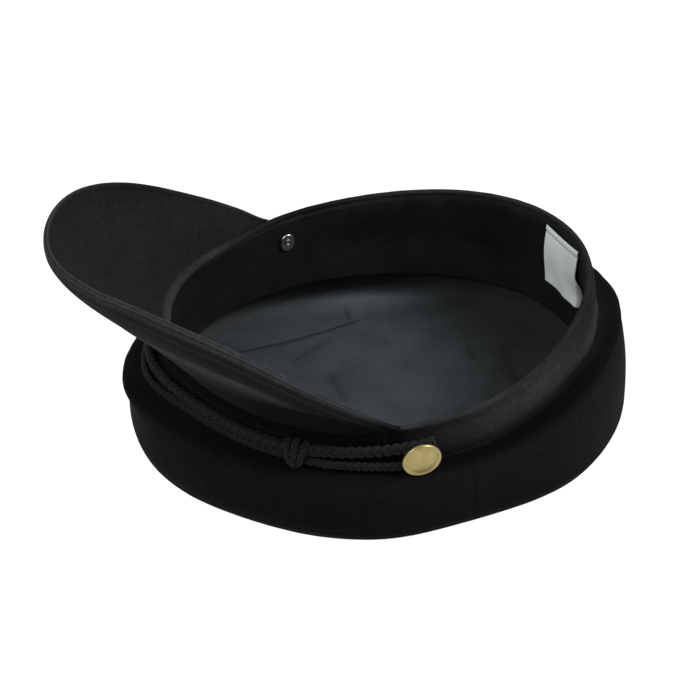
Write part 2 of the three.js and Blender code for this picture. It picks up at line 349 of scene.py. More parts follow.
def ring_piece(name, grid, material, replaces=(), painted_light_and_shade=None):
    rows, columns = grid.shape[:2]
    faces = grid_faces(rows, columns, True, True)
    points = grid.reshape(-1, 3)
    if signed(points, faces) < 0:
        faces = [f[::-1] for f in faces]
    return mesh_object(name, points, faces, grid_uvs(grid), material, replaces, painted_light_and_shade)


def sheet_piece(name, grid, material, replaces=(), painted_light_and_shade=None):
    rows, columns = grid.shape[:2]
    faces = grid_faces(rows, columns, False, True)
    half = columns // 2
    for row in (0, rows - 1):
        base = row * columns
        for j in range(half - 1):
            quad = [base + j, base + j + 1, base + columns - 2 - j, base + columns - 1 - j]
            faces.append(quad if row else quad[::-1])
    points = grid.reshape(-1, 3)
    if signed(points, faces) < 0:
        faces = [f[::-1] for f in faces]
    return mesh_object(name, points, faces, grid_uvs(grid), material, replaces, painted_light_and_shade)


def tube_parts(centres, radius, sides, closed=False, around=None):
    centres = np.asarray(centres, float)
    if closed:
        tangent = np.roll(centres, -1, 0) - np.roll(centres, 1, 0)
    else:
        tangent = np.gradient(centres, axis=0)
    tangent /= np.maximum(np.linalg.norm(tangent, axis=1, keepdims=True), 1e-9)
    hint = np.array([0.0, 0.0, 1.0]) if around is None else around
    side = np.cross(tangent, np.broadcast_to(hint, tangent.shape))
    side /= np.maximum(np.linalg.norm(side, axis=1, keepdims=True), 1e-9)
    lift = np.cross(side, tangent)
    turn = TURN * np.arange(sides) / sides
    ring = np.cos(turn)[None, :, None] * side[:, None] + np.sin(turn)[None, :, None] * lift[:, None]
    return centres[:, None] + radius * ring


def tubes_piece(name, lines, material, replaces=(), closed=False):
    points = []
    faces = []
    uvs = []
    start = 0
    for grid in lines:
        rows, sides = grid.shape[:2]
        part = grid_faces(rows, sides, closed, True, start)
        if not closed:
            part.append([start + k for k in range(sides)])
            part.append([start + (rows - 1) * sides + k for k in range(sides)][::-1])
        part_points = grid.reshape(-1, 3) - grid.reshape(-1, 3).mean(axis=0)
        if signed(part_points, [[v - start for v in f] for f in part]) < 0:
            part = [f[::-1] for f in part]
        faces += part
        points.append(grid.reshape(-1, 3))
        length = np.linalg.norm(np.diff(grid[:, 0], axis=0, prepend=grid[:1, 0]), axis=-1).cumsum()
        u, v = np.meshgrid(length, np.arange(sides) / sides * 5.0, indexing="ij")
        uvs.append(np.stack([u, v], axis=-1).reshape(-1, 2) * MM)
        start += rows * sides
    return mesh_object(name, np.concatenate(points), faces, np.concatenate(uvs), material, replaces)


# Materials
def new_material(name):
    material = bpy.data.materials.new(name)
    material.use_nodes = True
    tree = material.node_tree
    shader = tree.nodes["Principled BSDF"]
    return material, tree, shader


def node(tree, kind, **values):
    made = tree.nodes.new(kind)
    for key, value in values.items():
        if key in made.inputs:
            made.inputs[key].default_value = value
        else:
            setattr(made, key, value)
    return made


def ramp(tree, source, stops):
    made = tree.nodes.new("ShaderNodeValToRGB")
    elements = made.color_ramp.elements
    while len(elements) > 1:
        elements.remove(elements[-1])
    elements[0].position = stops[0][0]
    elements[0].color = (*stops[0][1], 1.0)
    for place, colour in stops[1:]:
        made_stop = elements.new(place)
        made_stop.color = (*colour, 1.0)
    tree.links.new(source, made.inputs["Fac"])
    return made.outputs["Color"]


def noise_node(tree, vector, scale, detail=4.0, rough=0.6):
    made = node(tree, "ShaderNodeTexNoise", Scale=scale, Detail=detail, Roughness=rough)
    tree.links.new(vector, made.inputs["Vector"])
    return made.outputs["Fac"]


def add_bumps(tree, shader, layers):
    last = None
    for height, strength, distance in layers:
        bump = node(tree, "ShaderNodeBump", Strength=strength, Distance=distance)
        tree.links.new(height, bump.inputs["Height"])
        if last is not None:
            tree.links.new(last, bump.inputs["Normal"])
        last = bump.outputs["Normal"]
    tree.links.new(last, shader.inputs["Normal"])


def times_painted_light(tree, colour):
    # scales the colour by the painted light and shade of each point
    shade = node(tree, "ShaderNodeAttribute", attribute_name="painted_light_and_shade")
    scaled = node(tree, "ShaderNodeVectorMath", operation="SCALE")
    tree.links.new(colour, scaled.inputs["Vector"])
    tree.links.new(shade.outputs["Fac"], scaled.inputs["Scale"])
    return scaled.outputs["Vector"]


def stretched(tree, vector, scale):
    mapping = node(tree, "ShaderNodeMapping")
    mapping.inputs["Scale"].default_value = scale
    tree.links.new(vector, mapping.inputs["Vector"])
    return mapping.outputs["Vector"]


def felt(name, dark, light, sheen, roughness=0.95, gloss=0.06):
    material, tree, shader = new_material(name)
    place = node(tree, "ShaderNodeTexCoord").outputs["Object"]
    fibre = noise_node(tree, place, 1500.0, 3.0, 0.65)
    nap = noise_node(tree, place, 420.0, 5.0, 0.7)
    cloud = noise_node(tree, place, 45.0, 3.0, 0.55)
    mix = node(tree, "ShaderNodeMath", operation="MULTIPLY_ADD")
    tree.links.new(cloud, mix.inputs[0])
    mix.inputs[1].default_value = 0.3
    tree.links.new(nap, mix.inputs[2])
    colour = ramp(tree, mix.outputs[0], [(0.35, dark), (0.95, light)])
    tree.links.new(times_painted_light(tree, colour), shader.inputs["Base Color"])
    shader.inputs["Roughness"].default_value = roughness
    shader.inputs["Specular IOR Level"].default_value = gloss
    shader.inputs["Sheen Weight"].default_value = sheen
    shader.inputs["Sheen Roughness"].default_value = 0.45
    shader.inputs["Sheen Tint"].default_value = (0.75, 0.8, 0.95, 1.0)
    add_bumps(tree, shader, [(cloud, 0.25, 0.0012), (nap, 0.55, 0.0005), (fibre, 0.5, 0.00018)])
    return material


def woven(name, dark, light, pitch, roughness, sheen, gloss, wrinkle=0.35):
    material, tree, shader = new_material(name)
    coords = node(tree, "ShaderNodeTexCoord")
    uv = coords.outputs["UV"]
    place = coords.outputs["Object"]
    cross = node(tree, "ShaderNodeMath", operation="MULTIPLY")
    for k, direction in enumerate("XY"):
        wave = node(tree, "ShaderNodeTexWave", bands_direction=direction, Scale=pitch, Distortion=0.6)
        wave.inputs["Detail Scale"].default_value = 2.0
        tree.links.new(uv, wave.inputs["Vector"])
        tree.links.new(wave.outputs["Fac"], cross.inputs[k])
    cloud = noise_node(tree, place, 55.0, 4.0, 0.6)
    slub = noise_node(tree, stretched(tree, uv, (120.0, 1400.0, 1.0)), 1.0, 3.0, 0.6)
    blend = node(tree, "ShaderNodeMath", operation="MULTIPLY_ADD")
    tree.links.new(slub, blend.inputs[0])
    blend.inputs[1].default_value = 0.5
    tree.links.new(cloud, blend.inputs[2])
    colour = ramp(tree, blend.outputs[0], [(0.45, dark), (1.0, light)])
    tree.links.new(times_painted_light(tree, colour), shader.inputs["Base Color"])
    shader.inputs["Roughness"].default_value = roughness
    shader.inputs["Specular IOR Level"].default_value = gloss
    shader.inputs["Sheen Weight"].default_value = sheen
    shader.inputs["Sheen Roughness"].default_value = 0.4
    add_bumps(tree, shader, [(cloud, wrinkle, 0.0008), (slub, 0.3, 0.00015), (cross.outputs[0], 0.5, 0.0001)])
    return material


def yarn(name, dark, light):
    material, tree, shader = new_material(name)
    coords = node(tree, "ShaderNodeTexCoord")
    uv = coords.outputs["UV"]
    slant = node(tree, "ShaderNodeMapping")
    slant.inputs["Rotation"].default_value = (0.0, 0.0, math.radians(38.0))
    tree.links.new(uv, slant.inputs["Vector"])
    plies = node(tree, "ShaderNodeTexWave", bands_direction="X", Scale=420.0, Distortion=1.0)
    tree.links.new(slant.outputs["Vector"], plies.inputs["Vector"])
    hair = noise_node(tree, coords.outputs["Object"], 1300.0, 4.0, 0.7)
    mix = node(tree, "ShaderNodeMath", operation="MULTIPLY")
    tree.links.new(plies.outputs["Fac"], mix.inputs[0])
    tree.links.new(hair, mix.inputs[1])
    colour = ramp(tree, mix.outputs[0], [(0.05, dark), (0.55, light)])
    tree.links.new(times_painted_light(tree, colour), shader.inputs["Base Color"])
    shader.inputs["Roughness"].default_value = 0.72
    shader.inputs["Specular IOR Level"].default_value = 0.12
    shader.inputs["Sheen Weight"].default_value = 0.05
    add_bumps(tree, shader, [(plies.outputs["Fac"], 0.6, 0.0003), (hair, 0.45, 0.0002)])
    return material


def metal(name, dark, light, roughness, grain=0.12):
    material, tree, shader = new_material(name)
    place = node(tree, "ShaderNodeTexCoord").outputs["Object"]
    cloud = noise_node(tree, place, 260.0, 3.0, 0.5)
    fine = noise_node(tree, place, 2600.0, 3.0, 0.6)
    colour = ramp(tree, cloud, [(0.3, dark), (0.7, light)])
    tree.links.new(colour, shader.inputs["Base Color"])
    rough = node(tree, "ShaderNodeMapRange")
    rough.inputs["To Min"].default_value = roughness * 0.8
    rough.inputs["To Max"].default_value = roughness * 1.25
    tree.links.new(fine, rough.inputs["Value"])
    tree.links.new(rough.outputs["Result"], shader.inputs["Roughness"])
    shader.inputs["Metallic"].default_value = 1.0
    add_bumps(tree, shader, [(fine, grain, 0.00004)])
    return material


WOOL = felt("wool_felt", (0.004, 0.004, 0.0044), (0.012, 0.012, 0.0132), sheen=0.02)
SWEAT = woven(
    "sweatband_cotton", (0.0055, 0.0055, 0.006), (0.015, 0.0152, 0.016),
    pitch=700.0, roughness=0.85, sheen=0.02, gloss=0.08,
)
LINING = woven(
    "lining_cloth", (0.031, 0.035, 0.0375), (0.056, 0.063, 0.068),
    pitch=900.0, roughness=0.6, sheen=0.03, gloss=0.2,
)
CORD = yarn("cord_yarn", (0.0018, 0.0018, 0.002), (0.015, 0.015, 0.0155))
GOLD = metal("satin_gold", (0.34, 0.275, 0.11), (0.4, 0.325, 0.14), 0.4)
SILVER = metal("bright_silver", (0.4, 0.4, 0.4), (0.6, 0.6, 0.6), 0.25)
SATIN = woven(
    "label_satin", (0.8, 0.85, 0.84), (0.93, 0.97, 0.96),
    pitch=1500.0, roughness=0.45, sheen=0.05, gloss=0.3, wrinkle=0.15,
)

def round_angles(steps):
    return np.arange(steps) * TURN / steps


# Side of the crown: bulging cloth with side seams, soft dents and puckers at the band
def crown_line(angle, height, inset):
    top = seam_at(angle)
    step = 0.02 * top
    below = np.maximum(height - step, 0)
    above = np.minimum(height + step, top)
    run = crown_offset(angle, above) - crown_offset(angle, below)
    length = np.hypot(run, above - below)
    across = (above - below) / length
    lift = run / length
    return crown_offset(angle, height) - inset * across, height + inset * lift, across, lift


SIDE_SEAMS = (92.0, -92.0)
SIDE_RADIUS = 110.0


def side_seam_depth(angle):
    depth = np.zeros_like(angle)
    for place in SIDE_SEAMS:
        away = turn_away(angle, place) * SIDE_RADIUS
        depth += -0.4 * bell(away, 0, 0.9) + 0.2 * bell(np.abs(away), 3.2, 1.8)
    return depth


CROWN_FULLNESS = (
    # angle, half width in degrees, millimetres out at the widest height
    (12.0, 14.0, 1.4),
    (38.0, 13.0, -0.5),
    (68.0, 17.0, 2.5),
    (94.0, 9.0, -0.7),
    (122.0, 18.0, 2.5),
    (164.0, 14.0, -0.6),
    (-30.0, 14.0, -0.3),
    (-75.0, 20.0, 0.7),
    (-130.0, 24.0, -0.6),
)


def crown_slump(angle, height):
    total = np.zeros(np.broadcast(angle, height).shape)
    for place, wide, out in CROWN_FULLNESS:
        total += out * round_bell(angle, place, wide)
    return total


FRONT_FOLD = {"angle": -6.88, "wide": 16.04, "out": 1.7, "down": 3.0, "tall": 4.0}


def front_fold(angle, down):
    around = round_bell(angle, FRONT_FOLD["angle"], FRONT_FOLD["wide"])
    return FRONT_FOLD["out"] * around * bell(down, FRONT_FOLD["down"], FRONT_FOLD["tall"])


def crown_light_and_shade(angle, down, up):
    # painted shade at the panel's seam, under the band, in the side seams and on the near side, painted light
    # at the front
    shade = 0.8 - 0.17 * bell(up, 0.0, 6.0) - 0.35 * bell(down, 0.0, 2.5)
    shade = shade + 0.15 * side_seam_depth(angle)
    shade = shade - 0.42 * round_bell(angle, 112.0, 42.0) * bell(down, 1.5, 3.2)
    shade = shade - 0.1 * round_bell(angle, 65.0, 40.0)
    return shade * (1 + 0.35 * round_bell(angle, -11.46, 34.38))


def build_crown_side():
    angles = round_angles(RING_STEPS)
    top = seam_at(angles)[:, None]
    share = 0.5 - 0.5 * np.cos(np.pi * np.linspace(0, 1, 44))
    low = PANEL_HEIGHT + 0.05
    height = low + (top - 0.1 - low) * share[None, :]
    angle = np.broadcast_to(angles[:, None], height.shape)
    offset, z, across, lift = crown_line(angle, height, 0.0)
    base = station(angle, offset, z)
    down = top - height
    slump = crown_slump(angle, height) + front_fold(angle, down) + 0.35 * fuzz(base, 24.0, 2.0)
    gather = wall_fuzz(angle * 104.0, height, 0.35, 7.0, 3.0)
    gather = gather * (0.35 * bell(down, 1.5, 5.0) + 0.12 * bell(height - low, 0.0, 4.0))
    fade = smooth(down, 0.0, 3.0)
    fold = -0.06 * bell(height - low, 0.0, 0.9)
    shift = slump * fade + gather * smooth(down, 0.0, 1.2) + side_seam_depth(angle) * fade + fold
    outer = station(angle, offset + shift * across, z - shift * lift)
    height_in = low + (top - 0.1 - low) * (0.5 - 0.5 * np.cos(np.pi * np.linspace(1, 0, 14)))[None, :]
    angle_in = np.broadcast_to(angles[:, None], height_in.shape)
    offset, z, across, lift = crown_line(angle_in, height_in, CROWN_THICKNESS)
    inner = station(angle_in, offset, z)
    column = angles[:, None] * np.ones((1, 3))
    tuck = station(column, np.array([[2.7, 2.0, 1.4]]), top - np.array([[0.06, 0.04, 0.04]]))
    inner[:, 0] = station(angles, 1.4, top[:, 0] - 1.5)
    grid = np.concatenate([outer, tuck, inner], axis=1)
    painted_light_and_shade = np.ones(grid.shape[:2])
    painted_light_and_shade[:, :outer.shape[1]] = crown_light_and_shade(angle, down, height - low)
    return ring_piece("crown_side_cloth", grid, WOOL, ("crown_side",), painted_light_and_shade)


# Top panel of the crown, flat where it rests, its edge turned up to the seam
# painted shade over the whole top panel, where the crown rests lowest
CROWN_TOP_PAINTED_SHADE = 0.64


def build_crown_top():
    angles = round_angles(RING_STEPS)
    column = angles[:, None]
    share = np.linspace(0.0004, 1.0, 26)[None, :]
    flat = CROWN_FLAT + even_offset(column) - 1.0
    under = station(column, flat, 0.0, share)
    height = 0.25 + (PANEL_HEIGHT - 0.45) * np.linspace(0, 1, 18)[None, :] ** 1.6
    height = height * np.ones((len(angles), 1))
    angle = np.broadcast_to(column, height.shape)
    offset, z, across, lift = crown_line(angle, height, 0.0)
    base = station(angle, offset, z)
    slump = crown_slump(angle, height) + 0.35 * fuzz(base, 24.0, 2.0)
    gather = 0.12 * wall_fuzz(angle * 108.0, height, 0.35, 7.0, 3.0)
    rise = smooth(height, 0.4, 5.0)
    near = bell(PANEL_HEIGHT - height, 0.0, 5.0)
    shift = slump * rise + gather * near * rise - 0.06 * bell(PANEL_HEIGHT - height, 0.0, 0.9)
    outer = station(angle, offset + shift * across, z - shift * lift)
    height_in = height[:, ::-1][:, ::2]
    angle_in = np.broadcast_to(column, height_in.shape)
    offset, z, across, lift = crown_line(angle_in, height_in, CROWN_THICKNESS)
    inner = station(angle_in, offset, z)
    cover = station(column, flat, 1.6, np.linspace(1.0, 0.0004, 12)[None, :])
    grid = np.concatenate([under, outer, inner, cover], axis=1)
    painted_light_and_shade = np.full(grid.shape[:2], CROWN_TOP_PAINTED_SHADE)
    return ring_piece("crown_top_cloth", grid, WOOL, ("crown_top",), painted_light_and_shade)


# Lining bag: floor with soft creases, and the wall behind the sweatband
FLOOR_CREASES = (
    # start x, y, end x, y, depth, width, sag
    (-64.0, -52.0, -68.0, 15.0, 1.1, 1.1, 2.2),
    (-80.0, 12.5, -70.0, 11.0, 0.7, 1.1, 0.0),
    (-45.0, -30.0, -56.0, -5.0, 0.35, 1.6, -1.0),
    (-28.0, 58.0, -13.0, 57.0, 0.45, 2.5, 0.6),
    (-29.0, -15.0, -6.0, -16.0, 0.45, 2.5, 0.6),
    (20.0, 40.0, 44.0, 12.0, 0.3, 4.0, 2.0),
    (-20.0, 75.0, 25.0, 68.0, 0.4, 4.0, 2.0),
)


def crease_groove(x, y):
    total = np.zeros_like(x)
    dark = np.zeros_like(x)
    for ax, ay, bx, by, deep, wide, sag in FLOOR_CREASES:
        dx, dy = bx - ax, by - ay
        size = math.hypot(dx, dy)
        along = ((x - ax) * dx + (y - ay) * dy) / size
        bend = sag * np.sin(np.pi * np.clip(along / size, 0, 1))
        away = ((x - ax) * dy - (y - ay) * dx) / size - bend
        inside = smooth(along, -4.0, 5.0) * (1 - smooth(along, size - 5.0, size + 4.0))
        total += 0.45 * deep * inside * (0.15 * bell(away, -1.9 * wide, 1.5 * wide) - bell(away, 0.0, wide))
        # painted shade along the valley of each crease
        dark += 0.75 * min(deep, 1.0) * inside * bell(away, 0.0, 0.9 * wide)
    return total, dark


def floor_light_and_shade(x, y, dark):
    # painted shade along the creases, painted light in the far left corner, painted shade toward the back and
    # the front
    far = smooth(-x, 66.0, 98.0) * smooth(y, -20.0, 45.0)
    back = smooth(y, 15.0, 85.0)
    front = smooth(-y, 30.0, 75.0)
    return (1 - dark) * (0.88 + 2.1 * far) * (1 - 0.38 * back) * (1 - 0.2 * front)


def build_lining():
    angles = round_angles(LINING_STEPS)
    column = angles[:, None]
    shares = np.concatenate([np.linspace(0.0004, 0.9, 110), np.linspace(0.92, 1.0, 8)])[None, :]
    flat = CROWN_FLAT + even_offset(column) - 4.0
    floor = station(column, flat, LINING_FLOOR, shares)
    rough = 0.9 * fuzz(floor * (1, 1, 0), 48.0, 5.0) + 0.35 * fuzz(floor * (1, 1, 0), 17.0, 6.0)
    fade = 1 - smooth(shares, 0.93, 1.0)
    groove, dark = crease_groove(floor[..., 0], floor[..., 1])
    floor[..., 2] += 1.0 + (rough + groove) * fade
    height = np.linspace(4.0, 34.0, 18)[None, :] * np.ones((len(angles), 1))
    angle = np.broadcast_to(column, height.shape)
    offset, z, across, lift = crown_line(angle, height, CROWN_THICKNESS + 1.4)
    wall = station(angle, offset, z)
    wave = 0.5 * fuzz(wall * (1, 1, 0.3), 14.0, 7.0)
    wall = station(angle, offset - np.abs(wave) * across, z)
    back_height = np.linspace(34.0, 4.0, 8)[None, :] * np.ones((len(angles), 1))
    angle = np.broadcast_to(column, back_height.shape)
    offset, z, across, lift = crown_line(angle, back_height, CROWN_THICKNESS + 0.6)
    behind = station(angle, offset, z)
    under = station(column, flat, 1.9, np.linspace(1.0, 0.0004, 20)[None, :])
    grid = np.concatenate([floor, wall, behind, under], axis=1)
    painted_light_and_shade = np.ones(grid.shape[:2])
    painted_light_and_shade[:, :floor.shape[1]] = floor_light_and_shade(floor[..., 0], floor[..., 1], dark)
    painted_light_and_shade[:, floor.shape[1]:] = 0.6
    return ring_piece("crown_lining_cloth", grid, LINING, ("crown_lining",), painted_light_and_shade)


# Band: straight cloth with its edges turned, sewn to the crown below
BAND_PAINTED_LIGHT = np.array([
    # degrees from the front, painted light and shade
    (0.0, 0.28),
    (60.0, 0.28),
    (76.0, 0.4),
    (86.0, 0.8),
    (94.0, 1.15),
    (106.0, 1.6),
    (118.0, 1.75),
    (134.0, 1.6),
    (180.0, 1.3),
])


def band_light_and_shade(angles, share):
    # painted light on the sides, painted shade in front under the peak, one soft painted highlight low on the
    # back, painted shade where it meets the crown; the turned top edge is lit the same way
    away = np.degrees(np.abs(turn_away(angles, 0.0)))
    painted_side_light = from_table(BAND_PAINTED_LIGHT, 1, away)[:, None]
    rear = smooth(away, 116, 156)[:, None]
    body = (0.9 + 1.1 * smooth(share, 0.03, 0.38)) * (1 - 0.3 * smooth(share, 0.7, 1.0))
    wall = painted_side_light * body * (1 - rear) + (1.1 + 2.3 * bell(share, 0.2, 0.3)) * rear
    edge = 1.4 * painted_side_light * (1 - rear) + 1.2 * rear
    return wall * (0.35 + 0.65 * smooth(share, 0.0, 0.04)), edge


def build_band():
    angles = round_angles(RING_STEPS)
    low = seam_at(angles)[:, None]
    high = rim_at(angles)[:, None] - 0.6
    share = np.linspace(0, 1, 26)[None, :]
    height = low + (high - low) * share
    angle = np.broadcast_to(angles[:, None], height.shape)
    arc = angle * 96.0
    wave = 0.35 * wall_fuzz(arc, height, 1.0, 16.0, 8.0)
    pucker = 0.35 * wall_fuzz(arc, height, 0.3, 4.5, 9.0)
    free = smooth(np.abs(np.degrees(turn_away(angle, 0.0))), 84.0, 104.0)
    swell = (0.35 + 1.35 * free) * np.sin(np.pi * share ** 1.25)
    edge = bell(share, 0.0, 0.22)
    offset = BAND_OUTER + swell + wave * smooth(share, 0.0, 0.2) + pucker * edge
    outer = station(angle, offset, height)
    turn = np.linspace(0, np.pi / 2, 6)[None, 1:]
    angle_top = np.broadcast_to(angles[:, None], (len(angles), 5))
    rim = station(angle_top, 1.6 + 1.4 * np.cos(turn), high + 0.6 * np.sin(turn))
    back = np.linspace(1, 0, 8)[None, :]
    angle_in = np.broadcast_to(angles[:, None], (len(angles), 8))
    inner = station(angle_in, 1.5, low + (high - low) * back)
    grid = np.concatenate([outer, rim, inner], axis=1)
    painted_light_and_shade = np.full(grid.shape[:2], 1.2)
    wall_end = outer.shape[1]
    rim_end = wall_end + rim.shape[1]
    painted_light_and_shade[:, :wall_end], painted_light_and_shade[:, wall_end:rim_end] = band_light_and_shade(angles, share)
    return ring_piece("band_cloth", grid, WOOL, ("band",), painted_light_and_shade)


# Sweatband: inner wall, rolled over the rim
def build_sweatband():
    angles = round_angles(RING_STEPS)
    high = rim_at(angles)[:, None]
    low = RIM_HEIGHT - SWEAT_DEPTH
    share = np.linspace(0, 1, 34)[None, :]
    height = low + (high - 1.2 - low) * share
    angle = np.broadcast_to(angles[:, None], height.shape)
    arc = angle * 94.0
    wave = 0.5 * wall_fuzz(arc, height, 0.5, 30.0, 11.0)
    ripple = 0.25 * wall_fuzz(arc, height, 0.2, 8.0, 12.0)
    lean = 0.6 * (1 - share) ** 2
    inward = wave * (1 - 0.6 * share) + ripple + lean
    stitch = -0.35 * bell(height, high - 5.0, 0.5)
    inner = station(angle, -(0.05 + inward + stitch), height)
    turn = np.linspace(np.pi, -0.35 * np.pi, 14)[None, :]
    angle_roll = np.broadcast_to(angles[:, None], (len(angles), 14))
    front = round_bell(angle_roll, -20.05, 42.97)
    full = 1.5 + 1.6 * front
    puff = full + 0.12 * wall_fuzz(angle_roll * 94.0, angle_roll, 0.0, 6.0, 13.0)
    middle = high - 0.7 - 0.5 * front
    roll = station(angle_roll, 1.0 - 0.6 * front + puff * np.cos(turn), middle + puff * np.sin(turn))
    back = np.linspace(1, 0, 8)[None, :]
    angle_in = np.broadcast_to(angles[:, None], (len(angles), 8))
    outer = station(angle_in, 1.3, low + (high - 2.6 - low) * back)
    grid = np.concatenate([inner, roll, outer], axis=1)
    # on the wall: darker on the left and along the stitching, lighter toward the rim, painted shade along its
    # lower edge; on the roll: painted light in front, painted shade at 150 and -84 degrees
    painted_light_and_shade = np.ones(grid.shape[:2])
    left = round_bell(angle, -45.84, 45.84)
    wall_end = inner.shape[1]
    roll_end = wall_end + roll.shape[1]
    stitched = 0.5 * bell(height, high - 5.0, 0.6)
    painted_light_and_shade[:, :wall_end] = (0.8 - 0.25 * left) + 1.3 * smooth(share, 0.86, 1.0) - stitched
    roll_painted_shade = 0.8 * round_bell(angle_roll, 150.0, 32.0) + 1.5 * round_bell(angle_roll, -84.0, 26.0)
    painted_light_and_shade[:, wall_end:roll_end] = 1.9 + 0.9 * front - roll_painted_shade
    painted_light_and_shade[:, :1] = 0.5
    return ring_piece("sweatband_cloth", grid, SWEAT, ("sweatband",), painted_light_and_shade)


# Peak: one bowed sheet with a rounded double edge and a lap of cloth over its root
def peak_surface(share, t):
    side = np.abs(share)
    angle = np.radians(PEAK_HALF_ANGLE) * share
    reach = PEAK_REACH * from_table(PEAK_EDGE, 1, side)
    rise = PEAK_RISE * from_table(PEAK_EDGE, 2, side)
    root = rim_at(angle) + 0.3
    tip = even_rim(angle) + rise + (root - even_rim(angle)) * smooth(side, PEAK_SETTLE, 1.0)
    length = np.hypot(reach, tip - root)
    across = (tip - root) / length
    drop = -reach / length
    bow = PEAK_BOW * np.minimum(length / PEAK_RISE, 1) ** 1.6
    p, q = PEAK_BOW_SKEW, PEAK_BOW_EDGE
    most = (p / (p + q)) ** p * (q / (p + q)) ** q
    lift = bow * np.maximum(t, 0) ** p * (1 - t) ** q / most
    offset = BAND_OUTER + (reach + even_offset(angle)) * t
    height = root + (tip - root) * t
    return angle, offset, height, lift, across, drop, length


PEAK_LAP = np.array([
    # share of half width, top and foot of the lap as shares of the way out, painted highlight on its top
    (0.0, 0.62, 0.07, 2.6),
    (0.1, 0.62, 0.08, 2.6),
    (0.2, 0.62, 0.105, 2.6),
    (0.3, 0.63, 0.145, 2.8),
    (0.4, 0.66, 0.225, 3.0),
    (0.5, 0.645, 0.275, 3.0),
    (0.6, 0.615, 0.375, 2.2),
    (0.7, 0.59, 0.485, 0.5),
    (0.8, 0.635, 0.6, 0.0),
    (0.9, 0.66, 0.64, 0.0),
    (1.0, 0.7, 0.68, 0.0),
])
LAP_THICKNESS = 1.7
FLANGE_SHARE = 0.07
FLANGE_DEPTH = 5.5
PEAK_END = 0.997
PEAK_EDGE_TURN = (70, 45, 20, -10, -40, -65)


def peak_lap(side, below, fall):
    full = LAP_THICKNESS * (1 - smooth(side, 0.62, 0.78)) * (0.15 + 0.85 * smooth(side, 0.28, 0.5))
    return full * np.sqrt(np.clip(below / 3.0, 0, 1)) * (1 - smooth(fall, 0.15, 1.1))


def peak_shade(side, to_edge, below, fall, turn):
    # painted highlight along the double edge, round the edge bead, on the underside near the edge and on top
    # of the lap; painted shade under the lap's foot and at both ends
    end_fade = 1 - smooth(side, 0.86, 0.97)
    outer_edge_highlight = 1.35 + end_fade * (3.4 * bell(to_edge, 0.0, 2.0) + 2.2 * bell(to_edge, 5.4, 1.8))
    bright = from_table(PEAK_LAP, 3, side)
    lap_light_and_shade = bright * np.where(below > 0, 1 - smooth(fall, -0.1, 0.85), np.exp(below / 1.2))
    lap_light_and_shade = lap_light_and_shade + 1.6 * bright * bell(fall, 0.1, 0.2) * (below > 0) - 1.35 * smooth(fall, 0.8, 1.05)
    under = 1.5 + 2.0 * bell(to_edge, 0.0, 1.2)
    both = np.concatenate([turn, turn[::-1]])[None, :]
    edge = 1.2 + end_fade[:, :1] * (1.8 + 1.4 * np.cos(both))
    painted_light_and_shade = np.concatenate([outer_edge_highlight + lap_light_and_shade, edge, under[:, ::-1]], axis=1)
    return np.maximum(painted_light_and_shade * (1 - 0.85 * smooth(side[:, :1], 0.975, 0.99)), 0.03)


def build_peak():
    spread = np.pi / 2 * 0.93
    shares = PEAK_END * np.sin(np.linspace(-1, 1, 300) * spread) / math.sin(spread)
    t = np.concatenate([np.linspace(-FLANGE_SHARE, 0.0, 8)[:-1], np.linspace(0.0, 1.0, 112)])
    share, along = np.meshgrid(shares, t, indexing="ij")
    angle, offset, height, lift, across, drop, length = peak_surface(share, along)
    lift = np.where(along < 0, 0, lift)
    tuck = np.where(along < 0, -along * FLANGE_DEPTH / FLANGE_SHARE, 0.0)
    height = np.where(along < 0, rim_at(angle) + 0.3 - tuck, height)
    offset = np.where(along < 0, BAND_OUTER, offset)
    side = np.abs(share)
    half = (PEAK_THICKNESS / 2) * (0.2 + 0.8 * (1 - smooth(side, 0.8, 1.0)))
    to_edge = (1 - along) * length
    rest = station(angle, offset, height)
    mottle = 0.22 * fuzz(rest, 26.0, 15.0)
    fade = smooth(to_edge, 0.0, 3.0)
    line = from_table(PEAK_LAP, 1, side)
    foot = from_table(PEAK_LAP, 2, side)
    below = (line - along) * length
    wide = np.maximum((line - foot) * length, 0.5)
    fall = np.clip(below / wide, 0, 3)
    hem = -0.25 * bell(to_edge, 2.9, 0.6)
    out = half + mottle * fade + peak_lap(side, below, fall) + hem
    inn = half - mottle * fade + hem
    outer = place_peak(angle, offset, height, lift + out, across, drop, tuck)
    inner = place_peak(angle, offset, height, lift - inn, across, drop, tuck)
    turn = np.radians(PEAK_EDGE_TURN)
    bead = 0.52 * half[:, -1:]
    edge_out = bead * (0.92 + np.sin(turn)[None, :])
    edge_in = bead * (-0.92 + np.sin(turn[::-1] * -1)[None, :])
    edge_far = bead * np.concatenate([np.cos(turn), np.cos(turn[::-1])])[None, :]
    edge_off = np.concatenate([edge_out, edge_in], axis=1)
    columns = [np.broadcast_to(v[:, -1:], edge_off.shape) for v in (angle, offset, height, across, drop)]
    rim_angle, rim_offset, rim_height, rim_across, rim_drop = columns
    edge = station(
        rim_angle,
        rim_offset + edge_off * rim_across - edge_far * rim_drop,
        rim_height + edge_off * rim_drop + edge_far * rim_across,
    )
    grid = np.concatenate([outer, edge, inner[:, ::-1]], axis=1)
    painted_light_and_shade = peak_shade(side, to_edge, below, fall, turn)
    return sheet_piece("peak_cloth", grid, WOOL, ("peak",), painted_light_and_shade)


def place_peak(angle, offset, height, shift, across, drop, tuck):
    # the root turns down outside the band and lies on it
    out = offset + shift * across
    low = height + shift * drop
    root = smooth(tuck, 0.0, 1.0)
    out = out * (1 - root) + (BAND_OUTER + 1.1 + 0.5 * np.sign(shift)) * root
    low = np.minimum(low, height) * root + low * (1 - root)
    return station(angle, out, low)


